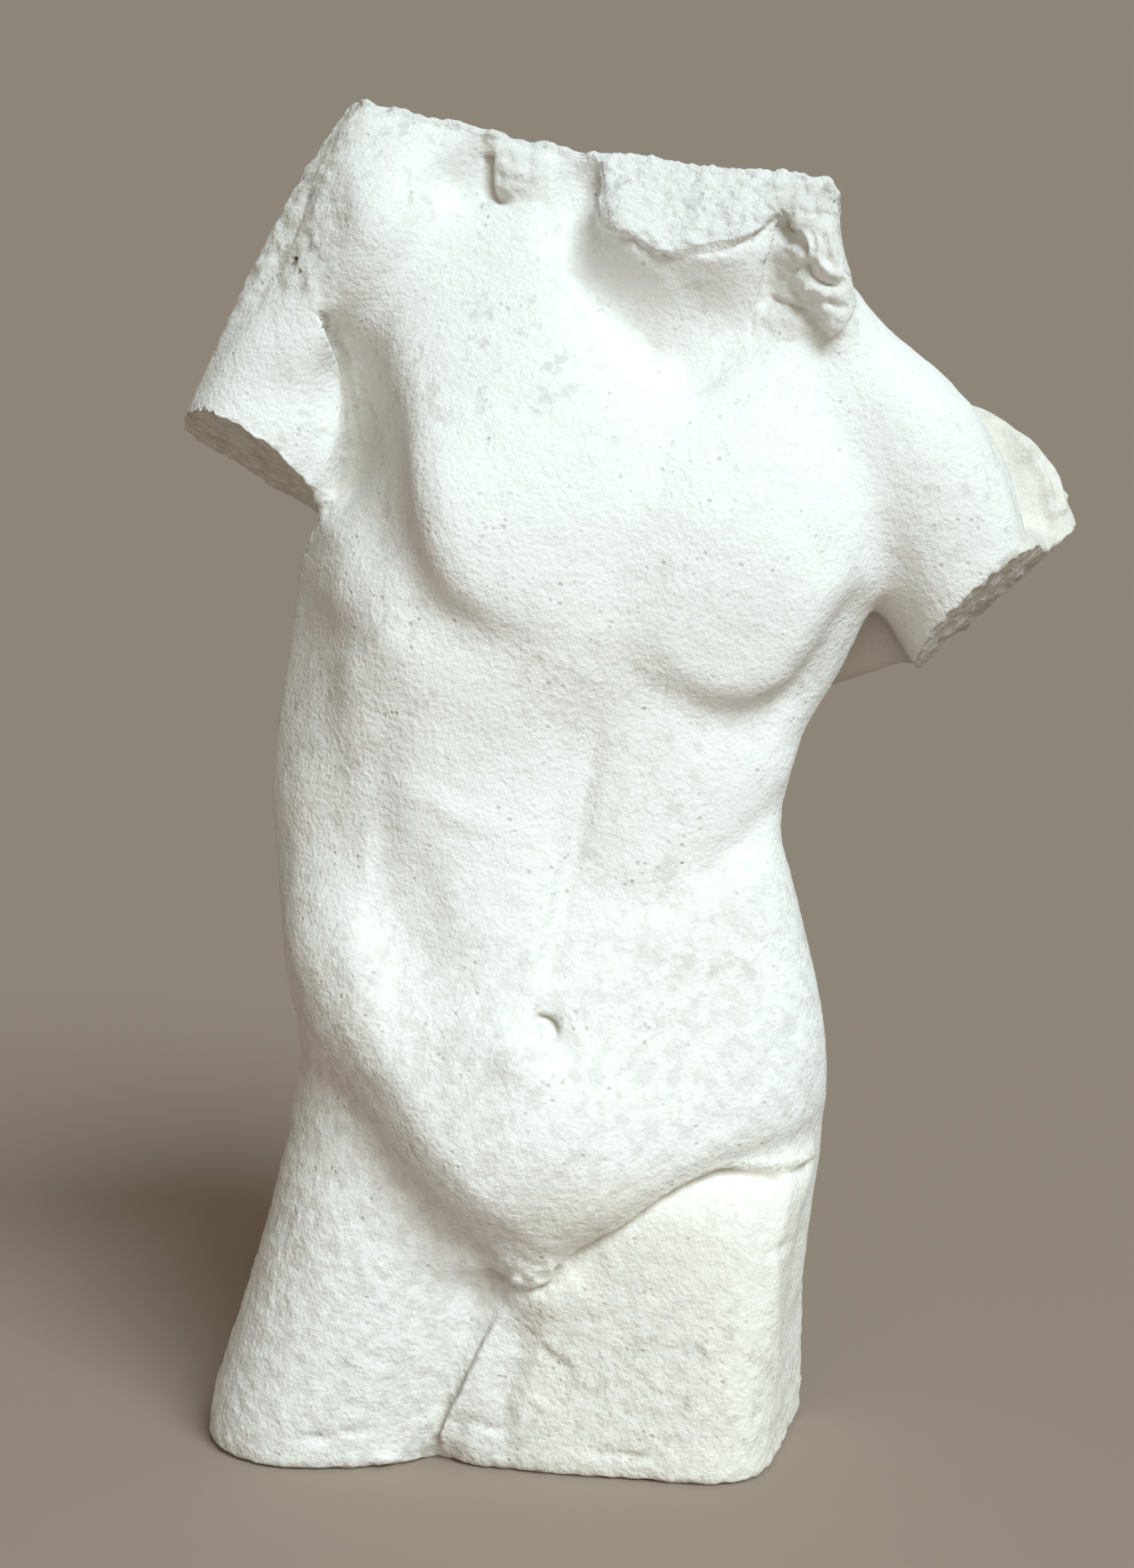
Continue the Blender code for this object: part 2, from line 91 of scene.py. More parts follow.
# Crease between the chest and the right arm
ARMPIT = [(-13.4, 69), (-12.5, 71), (-11.6, 73.4), (-11.0, 75.8), (-10.9, 78.1),
          (-11.0, 79.9), (-11.4, 81.6), (-12.2, 84)]

# How far the root of the wing comes out beside the arm, and which way
WING_RISE = 0.8
WING_WAY = (0.72, 0, 0.69)


# ---- Helpers for the form ----

def clear_selection():
    for thing in bpy.context.selected_objects:
        thing.select_set(False)


def only(piece):
    """Select one piece, and nothing else."""
    clear_selection()
    piece.select_set(True)
    bpy.context.view_layer.objects.active = piece


def apply_modifiers(piece):
    only(piece)
    for modifier in list(piece.modifiers):
        bpy.ops.object.modifier_apply(modifier=modifier.name)


def curve_through(rows, steps):
    """Points on a smooth curve through the rows, in steps to each span."""
    rows = np.array(rows, float)
    ends = np.vstack([2 * rows[0] - rows[1], rows, 2 * rows[-1] - rows[-2]])
    t = np.linspace(0, 1, steps, endpoint=False)[:, None]
    spans = []
    for a, b, c, d in zip(ends, ends[1:], ends[2:], ends[3:]):
        slope = (c - a) / 2
        bend = a - 2.5 * b + 2 * c - d / 2
        twist = 1.5 * (b - c) + (d - a) / 2
        spans.append(b + slope * t + bend * t ** 2 + twist * t ** 3)
    return np.vstack(spans + [rows[-1:]])


def smooth_step(low, high, value):
    """0 at low, 1 at high, and smooth between."""
    share = np.clip((value - low) / (high - low), 0, 1)
    return share * share * (3 - 2 * share)


def spot(points, centre, size, square=2):
    """1 at a place on the front view, fading to 0 around it. A high square gives a firm edge."""
    u = np.abs(points[:, 0] - centre[0]) / size[0]
    v = np.abs(points[:, 2] - centre[1]) / size[1]
    return np.exp(-(u ** square + v ** square))


def lumps(points, size, seed):
    """Soft noise of the size given, from -1 to 1, at each point."""
    offset = Vector((seed * 7.3, seed * 3.1, seed * 5.7))
    return np.array([noise.noise(Vector(place) + offset) for place in points / size])


def flakes(points, size, seed):
    """Sharp rough noise, as on a broken face."""
    offset = Vector((seed * 4.9, seed * 9.1, seed * 2.3))
    fall, finer, octaves, sharpness, gain = 0.9, 2.1, 4, 1.0, 1.6
    return np.array([
        noise.ridged_multi_fractal(Vector(place) + offset, fall, finer, octaves, sharpness, gain)
        for place in points / size
    ])


class Skin:
    """The skin of the cast, worked with strokes.

    A stroke works on one side of the body: -1 is the front and +1 the back. Several
    strokes add up, and settle moves the skin by their sum.
    """

    def __init__(self, piece):
        self.mesh = piece.data
        self.read()

    def read(self):
        count = len(self.mesh.vertices)
        points = np.empty(count * 3, np.float32)
        normals = np.empty(count * 3, np.float32)
        self.mesh.vertices.foreach_get("co", points)
        self.mesh.vertex_normals.foreach_get("vector", normals)
        self.points = points.reshape(-1, 3).astype(float) / UNIT
        self.normals = normals.reshape(-1, 3).astype(float)
        self.rise = np.zeros(count)

    def settle(self, push=None):
        """Move the skin by the strokes so far, along its normals or along a push."""
        way = self.normals if push is None else push
        self.points += way * self.rise[:, None]
        self.mesh.vertices.foreach_set("co", (self.points * UNIT).astype(np.float32).ravel())
        self.mesh.update()
        self.read()

    def facing(self, side, near=slice(None)):
        """1 where the skin faces a side of the body."""
        return smooth_step(-0.05, 0.4, self.normals[near, 1] * side)

    def around(self, rows, margin):
        """The points within a margin of the box of some rows."""
        rows = np.array(rows, float)
        low = rows.min(0) - margin
        high = rows.max(0) + margin
        place = self.points[:, [0, 2]]
        return np.flatnonzero(((place > low) & (place < high)).all(1))

    def beside(self, rows, margin, ends):
        """The points near a path, their distance to it, positive on its left hand, and a
        weight that fades at its ends."""
        near = self.around(rows, margin)
        place = self.points[near][:, [0, 2]]
        path = curve_through(rows, 6)
        nearest = np.full(len(place), np.inf)
        signed = np.zeros(len(place))
        along = np.zeros(len(place))
        steps = np.diff(path, axis=0)
        lengths = np.linalg.norm(steps, axis=1)
        before = np.concatenate([[0], np.cumsum(lengths)])
        for start, step, length, done in zip(path, steps, lengths, before):
            offset = place - start
            share = np.clip(offset @ step / length ** 2, 0, 1)
            gap = offset - share[:, None] * step
            distance = np.hypot(gap[:, 0], gap[:, 1])
            closer = distance < nearest
            left = step[0] * offset[:, 1] - step[1] * offset[:, 0]
            nearest[closer] = distance[closer]
            signed[closer] = (distance * np.where(left < 0, -1, 1))[closer]
            along[closer] = (done + share * length)[closer]
        total = before[-1]
        weight = smooth_step(-0.3, 1, along / (ends[0] * total + 1e-6))
        weight *= smooth_step(-0.3, 1, (total - along) / (ends[1] * total + 1e-6))
        return near, signed, weight

    def groove(self, rows, depth, width, side=-1, ends=(0.25, 0.25)):
        """A groove with soft walls. A negative depth makes a ridge."""
        near, distance, weight = self.beside(rows, 3 * width, ends)
        shape = np.exp(-(distance / width) ** 2)
        self.rise[near] -= depth * shape * weight * self.facing(side, near)

    def fold(self, rows, lip, reach, drop, foot, side=-1, ends=(0.25, 0.25), edge=0.3, curl=2):
        """A form that ends in a crease: it swells on the path's left hand."""
        near, distance, weight = self.beside(rows, 2.5 * max(reach, foot), ends)
        bank = smooth_step(0, edge * reach, distance)
        swell = lip * bank * np.exp(-(distance / reach) ** 2)
        crease = drop * np.where(distance > 0, 1 - bank, np.exp(-(np.abs(distance) / foot) ** curl))
        self.rise[near] += (swell - crease) * weight * self.facing(side, near)

    def mound(self, centre, size, rise, side=-1, lean=0, square=2):
        """A soft oval mound. A negative rise makes a hollow."""
        lean = math.radians(lean)
        x = self.points[:, 0] - centre[0]
        z = self.points[:, 2] - centre[1]
        u = np.abs(x * math.cos(lean) + z * math.sin(lean)) / size[0]
        v = np.abs(z * math.cos(lean) - x * math.sin(lean)) / size[1]
        self.rise += rise * np.exp(-(u ** square + v ** square)) * self.facing(side)


def height_over(points, broken_face):
    """How far points lie out of the body beyond a broken face, and the way out."""
    point, out, bow = broken_face
    up = np.array(Vector(out).normalized())
    across = np.array((Vector((1, 0, 0)) - Vector(up) * up[0]).normalized())
    offset = points - np.array(point, float)
    return offset @ up - bow * (offset @ across / 10) ** 2, up


def cut_back(skin, broken_face, where, spare=0):
    """Press what lies beyond a broken face back onto it."""
    over, up = height_over(skin.points, broken_face)
    skin.points -= (np.clip(over - spare, 0, None) * where)[:, None] * up
    skin.settle()


def along_limb(points, broken_face):
    """How far points lie from the middle of a limb's break, across the limb."""
    point, out = broken_face[:2]
    return (points - np.array(point, float)) @ np.array((-out[2], 0, out[0]))


def above_neck_edge(points):
    """1 on the broken neck's side of its lower edge."""
    edge = np.array([row for row in NECK_EDGE if row[0] > 7.1])
    edge = edge[np.argsort(edge[:, 0])]
    low = np.interp(points[:, 0], edge[:, 0], edge[:, 1], left=99)
    return smooth_step(-0.15, 0.25, points[:, 2] - low)


def broken_share(points, normals):
    """1 on the broken faces and 0 on the skin, with a narrow rough border."""
    top = height_over(points, TOP_BREAK)[0]
    share = smooth_step(-0.8, -0.4, top)
    on_neck = above_neck_edge(points) * (points[:, 0] < 24.8) * (normals[:, 1] < 0)
    share = np.maximum(share, on_neck)
    right_arm = (points[:, 0] < -13.2) & (points[:, 2] > 67)
    left_arm = points[:, 0] > LEFT_ARM
    for arm_breaks, on_limb in (RIGHT_ARM_BREAKS, right_arm), (LEFT_ARM_BREAKS, left_arm):
        for broken_face in arm_breaks:
            over, up = height_over(points, broken_face)
            face = smooth_step(-0.7, -0.3, over) * smooth_step(0.4, 0.7, normals @ up)
            share = np.maximum(share, face * on_limb)
    return share


def on_pitted_shoulder(points):
    """1 on the pitted outer side of the right shoulder."""
    arm = smooth_step(-9.8, -12.6, points[:, 0]) * smooth_step(81, 88, points[:, 2])
    top = smooth_step(-7.6, -10.0, points[:, 0]) * smooth_step(94.5, 97, points[:, 2])
    return np.maximum(arm, top)


def on_wing(points, border):
    """1 on the root of the wing beside the left arm."""
    beside_arm = points[:, 0] - 38.9 + 0.55 * np.abs(points[:, 2] - 70)
    return smooth_step(0, border, beside_arm) * (points[:, 2] > 66)


def near_hair(points):
    """1 on the lock of hair and on the remains of hair on the right shoulder."""
    x, y, z = points.T
    lock = (x > 19.4) & (x < 26) & (z > 81.8) & (z < 93)
    remains = (x > -0.8) & (x < 3.8) & (z > 91.8)
    return ((lock | remains) & (y < 0)).astype(float)


# ---- The form, zone by zone ----

def cut_breaks(skin):
    """Slant the two arm breaks towards the front, and round the corner of the top."""
    right = along_limb(skin.points, RIGHT_ARM_BREAKS[0])
    on_arm = smooth_step(-12.4, -13.6, skin.points[:, 0])
    cut_back(skin, RIGHT_ARM_BREAKS[1], smooth_step(6.6, 4.6, right) * on_arm)
    left = along_limb(skin.points, LEFT_ARM_BREAKS[0])
    on_arm = skin.points[:, 0] > LEFT_ARM
    cut_back(skin, LEFT_ARM_BREAKS[1], smooth_step(9.0, 8.2, left) * on_arm)
    cut_back(skin, CORNER_BREAK, (skin.points[:, 0] > 20) & (skin.points[:, 2] > 89))


def work_chest(skin):
    skin.fold(ARMPIT, lip=0.45, reach=2.4, drop=1.2, foot=1.3,
              ends=(0.3, 0.15), edge=0.2, curl=1.3)
    skin.fold(ARMPIT[:-2], lip=0, reach=2.4, drop=1.8, foot=4.2,
              ends=(0.5, 0.75), edge=0.2, curl=1.7)
    skin.fold([(-12.4, 84.4), (-10.8, 82.4), (-9.5, 79.8), (-8.7, 76.4), (-7.9, 72.6),
               (-6.9, 69.2), (-5.4, 66), (-3.0, 62.9), (0.4, 61)],
              lip=0.7, reach=6.4, drop=0.3, foot=3, ends=(0.45, 0.4), edge=0.7)
    skin.mound((4.6, 58.8), (4.6, 2.4), 0.35)
    skin.fold([(8.6, 66), (9.1, 61), (10.2, 58.4), (12.4, 56.6), (16.3, 55.1), (20.2, 56.0),
               (22.8, 58.6), (24.9, 62), (27, 65.2)],
              lip=0.3, reach=3.6, drop=0.4, foot=2.2, ends=(0.75, 0.08), edge=0.8)
    skin.groove([(13.4, 79), (11.2, 73.2), (9.1, 66.5), (7.6, 61)], depth=0.2, width=2.2)


def work_shoulders(skin):
    skin.mound((-7.8, 89.4), (3.6, 4.6), 0.8, lean=-18)
    skin.mound((-2.6, 93.4), (2.8, 1.9), -0.75)
    skin.mound((-16, 88.4), (5.2, 8), -2.0, lean=-18)
    skin.mound((-15.6, 78.2), (4, 2.4), -0.6)
    skin.fold([(38.9, 68.2), (38.9, 69.5), (38.65, 71.3), (37.8, 73.3), (36.6, 75.4),
               (35.2, 77.3), (34, 78.8)],
              lip=0.2, reach=1.5, drop=0.6, foot=1.0, ends=(0.05, 0.1))
    wing_ridges = (
        [(37.8, 76.2), (39.2, 74.1), (40.3, 72.2), (40.7, 70.4), (40.9, 68.8)],
        [(38.8, 76.0), (40.3, 74), (41.2, 72.2), (41.6, 70.6), (41.8, 69.2)],
        [(39.8, 75.4), (41.2, 73.6), (42.1, 71.9), (42.5, 70.4)],
    )
    for ridge in wing_ridges:
        skin.groove(ridge, depth=-0.6, width=0.32, ends=(0.2, 0.05))
    skin.mound((39.2, 73.7), (0.6, 0.35), 0.4, lean=20)
    skin.settle()
    skin.rise += WING_RISE * on_wing(skin.points, 2.4)
    skin.settle(np.array(WING_WAY))


def work_neck(skin):
    skin.fold([(7.0, 95.2), (6.2, 93.6), (5.5, 92.2), (5.0, 90.5), (5.4, 88.3), (6.9, 85.8),
               (9.2, 83.3), (11.7, 80.8), (13.3, 79.6), (14.6, 77.1)],
              lip=1.2, reach=5, drop=1.1, foot=1.3, ends=(0.1, 0.4), edge=0.75)
    skin.mound((12.4, 86.8), (4.6, 1.8), -0.6)
    skin.mound((12.8, 82.6), (5.0, 3.9), -3.3)
    skin.fold(NECK_EDGE[:-2], lip=0.1, reach=3, drop=0.35, foot=0.8, ends=(0.12, 0.02), edge=0.08)
    skin.fold([(18.4, 82.2), (19.0, 84.6), (19.4, 86.8), (19.7, 88.3), (20.4, 90.4)],
              lip=0.35, reach=1.3, drop=0.6, foot=1.2, ends=(0.5, 0.05))


def work_hair(skin):
    skin.mound((20.5, 88.5), (1.0, 1.5), 0.6)
    skin.fold([(20.6, 90.6), (21.1, 89.7), (21.7, 89.0), (22.0, 88.3), (22.1, 87.4)],
              lip=0.3, reach=1.2, drop=0.5, foot=0.7)
    skin.fold([(19.6, 85.2), (20.6, 84.7), (21.5, 84.3), (22.5, 83.9), (23.2, 83.3),
               (23.6, 82.4), (24.1, 81.9)],
              lip=0.25, reach=1.1, drop=0.2, foot=0.5, ends=(0.1, 0.02))
    skin.mound((21.2, 83.2), (2.4, 1.1), 0.6, lean=-24)
    skin.fold([(24.1, 81.9), (24.7, 82.5), (25.2, 83.1), (25.5, 83.7), (25.65, 84.4),
               (25.6, 85.1), (25.3, 85.8), (24.9, 86.6)],
              lip=0.35, reach=1.1, drop=0.5, foot=0.7, ends=(0.02, 0.1))
    ridges = (
        ([(23.6, 89.3), (23.7, 88.1), (24.1, 87.0), (24.6, 86.3)], 0.3, 0.3),
        ([(21.4, 89.6), (21.9, 88.8), (22.3, 87.9), (22.7, 87.1)], 0.3, 0.28),
        ([(22.9, 88.6), (22.8, 87.7), (23.0, 86.9), (23.6, 86.3), (24.5, 85.95)], 0.5, 0.3),
        ([(21.5, 87.0), (21.7, 86.1), (22.2, 85.5), (22.9, 85.1), (23.6, 84.6)], 0.35, 0.3),
    )
    grooves = (
        ([(23.2, 89.3), (23.4, 88.0), (23.7, 87.2), (24.3, 86.5)], 0.45, 0.24),
        ([(22.4, 89.3), (22.6, 88.2), (22.6, 87.5)], 0.35, 0.22),
        ([(21.9, 87.4), (22.1, 86.5), (22.6, 85.9), (23.4, 85.6), (24.1, 85.55), (24.8, 85.8)],
         0.65, 0.28),
        ([(23.3, 84.4), (24.1, 84.05), (25.0, 83.9)], 0.45, 0.26),
        ([(21.2, 85.4), (22.0, 84.9), (22.8, 84.3)], 0.25, 0.25),
    )
    for rows, rise, width in ridges:
        skin.groove(rows, depth=-0.75 * rise, width=width, ends=(0.15, 0.1))
    for rows, depth, width in grooves:
        skin.groove(rows, depth=0.8 * depth, width=width, ends=(0.1, 0.1))
    skin.groove([(20.8, 88.5), (21.5, 88.0), (22.1, 87.2)], depth=-0.3, width=0.3)
    skin.mound((21.3, 86.75), (0.4, 0.35), -0.4)
    skin.mound((22.1, 85.1), (0.32, 0.3), 0.35)


def work_hair_remains(skin):
    skin.mound((0.9, 94.2), (1.3, 1.5), 0.45, square=4)
    skin.groove([(2.7, 95.3), (3.1, 94.2), (2.5, 92.9)], depth=-0.3, width=0.45, ends=(0.02, 0.3))
    skin.groove([(-0.5, 95.4), (-0.5, 93.6), (-0.2, 92.4), (0.6, 91.9), (1.6, 92.0)],
                depth=0.8, width=0.42, ends=(0.02, 0.4))


def work_ribs(skin):
    ribs = (
        ((-10.9, 57.2), (1.3, 2.2), 0.3, -20), ((-9.2, 45.4), (0.6, 2.4), 0.2, -6),
        ((-8.8, 53.2), (1.6, 1.8), 0.2, -30), ((-9.4, 37.6), (1.7, 3.8), 0.7, 12),
        ((-5.2, 47.2), (2.4, 1.8), 0.2, -20), ((-7.4, 60.2), (1.7, 1.6), 0.3, -30),
    )
    for place, size, rise, lean in ribs:
        skin.mound(place, size, rise, lean=lean)
    skin.groove([(-12.8, 66), (-12.4, 58), (-12.2, 50), (-12, 42)], depth=1.0, width=3.2)
    skin.groove([(-8.4, 56), (-8.2, 51), (-7.8, 45), (-7.2, 39.4)], depth=0.35, width=1.6)
    skin.mound((-3.2, 37.8), (3.2, 2.2), -0.35, lean=-14)
    skin.groove([(21.5, 49.6), (19.5, 47.6), (16.5, 45.2), (13.6, 43.4), (10.6, 42.2), (7.6, 42.8)],
                depth=0.35, width=1.4)


def work_belly(skin):
    skin.groove([(7.6, 56), (7.0, 52), (6.2, 48), (5.1, 43.8), (4.3, 39.6), (3.9, 36.4)],
                depth=0.45, width=0.8, ends=(0.3, 0.05))
    skin.groove([(6.0, 53), (5.3, 48.9), (4.0, 43.8), (2.9, 39.4), (2.4, 36.4)],
                depth=-0.25, width=0.6, ends=(0.3, 0.1))
    skin.mound((3.2, 25.8), (7.2, 7.2), 1.6)
    skin.mound((6.8, 43.2), (2.0, 3.6), -0.35, lean=-14)
    skin.mound((-5.4, 42.4), (2.4, 5.0), -0.6, lean=10)
    skin.mound((-2.8, 48.6), (3.6, 1.2), 0.25, lean=-24)
    skin.mound((2.0, 31.9), (1.9, 1.9), 0.6)
    skin.mound((3.7, 33.1), (0.75, 0.85), -0.5, square=3)
    skin.groove([(2.6, 34.3), (3.3, 34.45), (4.1, 34.15), (4.5, 33.5), (4.45, 32.7)],
                depth=0.8, width=0.28, ends=(0.35, 0.45))
    skin.groove([(24, 35), (20, 31.4), (16, 27.2), (12, 23.6)], depth=0.22, width=1.0)
    skin.groove([(21.5, 50), (17.5, 45.6), (14, 42)], depth=0.2, width=0.9)


def work_hips(skin):
    skin.fold([(-13.6, 34.5), (-12.4, 31.5), (-11.2, 29.1), (-9.5, 26.6), (-8, 23.9),
               (-5.9, 21.2), (-4.1, 19), (-2.4, 17.2), (-0.6, 14.8), (0.6, 13.5)],
              lip=2.0, reach=7.5, drop=0.6, foot=2.6, ends=(0.3, 0.3), edge=0.75)
    skin.fold([(2.4, 13.6), (3.6, 14.5), (5.4, 16.4), (7.2, 17.9), (9.6, 19.5), (11.4, 20.9),
               (13.8, 22.2), (16.2, 22.9), (18.6, 22.6), (20.6, 22.4), (23.4, 22.2)],
              lip=0.25, reach=1.8, drop=0.55, foot=0.7, ends=(0.7, 0.02), edge=0.25)
    skin.mound((16.5, 19.8), (5, 2.4), 0.3, lean=8)
    skin.mound((1.6, 16.8), (4.8, 3.8), -1.1)
    skin.groove([(-0.9, 15.4), (0.1, 14.1), (2.1, 13.7), (4.2, 14.5), (4.9, 16.0)],
                depth=0.35, width=0.4, ends=(0.1, 0.1))


def work_thighs(skin):
    crease = [(1.3, 13.2), (0.1, 11.0), (-0.9, 9.3), (-1.7, 7.7), (-2.5, 5.9), (-3.4, 4.3),
              (-4.0, 3.1), (-4.6, 0.4)]
    skin.groove(crease, depth=-1.2, width=1.9, ends=(0.25, 0.2))
    skin.fold(crease, lip=0.9, reach=2.8, drop=0.1, foot=0.6, ends=(0.4, 0.2), edge=0.28)
    skin.fold([(3.8, 13.4), (2.4, 11), (1.6, 8.6), (1.0, 6.2), (0.4, 3.4), (0.0, 1)],
              lip=0.3, reach=2.6, drop=0.3, foot=1.2, ends=(0.3, 0.3), edge=0.6)
    skin.mound((1.6, 12.6), (3.6, 1.9), 0.9)
    skin.groove([(21.2, 22.6), (20.6, 20), (20.0, 16), (20.2, 10), (20.6, 3)],
                depth=-0.3, width=0.6, ends=(0.05, 0.05))
    chips = (
        ((-13.0, 2.6), (1.0, 0.4), 0.3), ((-10.6, 3.0), (1.0, 0.3), 0.25),
        ((-0.6, 3.3), (0.7, 0.4), 0.3), ((8.2, 2.1), (1.6, 0.28), 0.22),
        ((10.2, 1.9), (0.9, 0.35), 0.25), ((20.4, 17.2), (0.8, 0.5), 0.3),
    )
    for place, size, depth in chips:
        skin.mound(place, size, -depth)


def work_back(skin):
    skin.groove([(14.4, 88), (12.6, 76), (9.4, 62), (7.2, 48), (5.6, 36), (4.6, 29)],
                depth=0.4, width=1.4, side=1)
    skin.groove([(-4, 82), (-2.6, 74), (1.4, 67.6)], depth=0.5, width=1.6, side=1)
    skin.groove([(25, 80), (21, 70), (16, 63)], depth=0.4, width=1.8, side=1)
    for bone in range(6):
        skin.mound((9.3 - 0.42 * bone, 60 - 5 * bone), (0.9, 1.0), 0.16, side=1)


def weigh(piece, name, levels):
    """Keep the levels at the points of a piece as a vertex group."""
    group = piece.vertex_groups.new(name=name)
    for level in range(WEIGHT_LEVELS + 1):
        chosen = np.flatnonzero(levels == level)
        group.add(chosen.tolist(), level / WEIGHT_LEVELS, "REPLACE")
    return group


def add_smooth(piece, passes):
    smooth = piece.modifiers.new("Smooth", "SMOOTH")
    smooth.factor = SMOOTH_FACTOR
    smooth.iterations = passes
    return smooth


def smooth_where(piece, share, passes):
    """Smooth a piece where a share says so."""
    group = weigh(piece, "Smooth", np.rint(share * WEIGHT_LEVELS))
    add_smooth(piece, passes).vertex_group = group.name
    apply_modifiers(piece)
    piece.vertex_groups.clear()


def smooth_skin(piece):
    """Take the facets out of the copied solid, and keep its breaks crisp."""
    skin = Skin(piece)
    x, y, z = skin.points.T
    share = 1 - 0.95 * broken_share(skin.points, skin.normals)
    share *= 1 - 0.35 * near_hair(skin.points)
    thigh_corner = np.exp(-((x - 21.6) / 2.6) ** 2) * (z < 24) * (y < -1)
    share *= 1 - 0.85 * thigh_corner
    smooth_where(piece, share, SMOOTH_PASSES)

    skin = Skin(piece)
    x, z = skin.points[:, 0], skin.points[:, 2]
    soft = np.zeros(len(x))
    for across, up, width, height in SOFT_PLACES:
        apart = ((x - across) / width) ** 2 + ((z - up) / height) ** 2
        soft = np.maximum(soft, np.exp(-apart ** 2))
    smooth_where(piece, soft * skin.facing(-1), SOFT_PASSES)


def roughen(skin):
    """The rough broken faces, the pitted shoulder and the slight waves of hand-worked plaster."""
    points = skin.points
    x, y, z = points.T
    broken = broken_share(points, skin.normals)
    rough = flakes(points, 2.4, seed=1) - 1.1
    chips = lumps(points, 0.75, seed=2)
    neck = above_neck_edge(points) * (y < 0)
    crumbs = lumps(points, 0.36, seed=8)
    skin.rise += broken * (0.19 * rough + 0.16 * chips + 0.16 * neck * crumbs)

    low = smooth_step(26, 16, z + 0.45 * x)
    waves = 0.07 * lumps(points, 3.4, seed=3) + 0.05 * lumps(points, 1.5, seed=4)
    grain = (0.035 + 0.05 * low) * lumps(points, 0.62, seed=6)
    grain += 0.06 * low * lumps(points, 1.1, seed=7)
    skin.rise += (waves + grain) * (1 - broken)

    pits = 0.16 * lumps(points, 0.7, seed=5) + 0.1 * lumps(points, 1.2, seed=9) + 0.12 * rough
    skin.rise += on_pitted_shoulder(points) * (1 - broken) * pits

    pubic = spot(points, (2.1, 15.6), (2.7, 1.7), square=4)
    remains = spot(points, (1.2, 94), (1.5, 2.2), square=4)
    hair = np.maximum(0.7 * remains, 0.35 * near_hair(points))
    base = 0.5 * smooth_step(1.6, 0.6, z) * (z > 0.35)
    rugged = np.maximum(np.maximum(pubic, hair) * skin.facing(-1), base)
    skin.rise += rugged * (0.3 * chips + 0.2 * rough)


def thin_out(piece):
    """Bring the skin down to its number of triangles, mostly where it is plain."""
    skin = Skin(piece)
    keep = np.maximum(broken_share(skin.points, skin.normals), near_hair(skin.points))
    navel = spot(skin.points, (3.4, 33), (2.4, 2.4))
    keep = np.maximum(keep, navel)
    loss = 0.35 + 0.65 * smooth_step(-0.2, 0.2, skin.normals[:, 1])
    group = weigh(piece, "Fewer", np.rint(WEIGHT_LEVELS * loss * (1 - 0.9 * keep)))
    fewer = piece.modifiers.new("Fewer faces", "DECIMATE")
    fewer.ratio = TRIANGLES / sum(len(face.vertices) - 2 for face in piece.data.polygons)
    fewer.vertex_group = group.name
    apply_modifiers(piece)
    piece.vertex_groups.clear()


def make_torso():
    """The cast, from a copy of its solid."""
    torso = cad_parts["torso"].copy()
    torso.data = torso.data.copy()
    torso.name = "torso_cast"
    bpy.context.scene.collection.objects.link(torso)
    only(torso)
    bpy.ops.object.mode_set(mode="EDIT")
    bpy.ops.mesh.select_all(action="SELECT")
    bpy.ops.mesh.remove_doubles(threshold=MERGE_DISTANCE)
    bpy.ops.object.mode_set(mode="OBJECT")
    fine = torso.modifiers.new("Fine skin", "REMESH")
    fine.mode = "VOXEL"
    fine.voxel_size = SKIN_VOXEL
    apply_modifiers(torso)
    cut_breaks(Skin(torso))
    smooth_skin(torso)

    skin = Skin(torso)
    for work in (work_chest, work_belly, work_ribs, work_hips, work_thighs, work_shoulders,
                 work_neck, work_hair, work_hair_remains, work_back, roughen):
        work(skin)
        skin.settle()
    cut_back(skin, TOP_BREAK, skin.points[:, 2] > 90, spare=TOP_SPARE)
    skin.points[:, 2] = np.clip(skin.points[:, 2], 0, None)
    skin.settle()
    thin_out(torso)
    only(torso)
    bpy.ops.object.shade_smooth()
    return torso


def blurred(piece):
    """Where the points of a piece would lie if its skin were blurred."""
    soft = piece.copy()
    soft.data = piece.data.copy()
    bpy.context.scene.collection.objects.link(soft)
    add_smooth(soft, BLUR_PASSES)
    apply_modifiers(soft)
    points = Skin(soft).points
    bpy.data.objects.remove(soft, do_unlink=True)
    return points


def recess_shade_share(piece, skin):
    """Painted shade: above 0.5 in the hollows of the skin and below 0.5 on its edges, near 1 under
    the left arm and higher in the right armpit.
    """
    x, y, z = skin.points.T
    depth = ((blurred(piece) - skin.points) * skin.normals).sum(1)
    back = smooth_step(-0.3, 0.1, skin.normals[:, 1])
    hollow = np.clip(0.5 + depth * (2.2 - 2.0 * back), 0, 1)
    # painted shade on the mass under the left arm, where little light reaches
    under_arm_shade = smooth_step(24.8, 26, x) * smooth_step(0.4, 1.6, y) * smooth_step(68.6, 65.4, z)
    hollow = np.maximum(hollow, 0.96 * under_arm_shade)
    # painted shade in the right armpit
    armpit_shade = spot(skin.points, (-9.6, 73.5), (2.6, 6.5)) * skin.facing(-1)
    return np.maximum(hollow, 0.5 + 0.38 * armpit_shade)


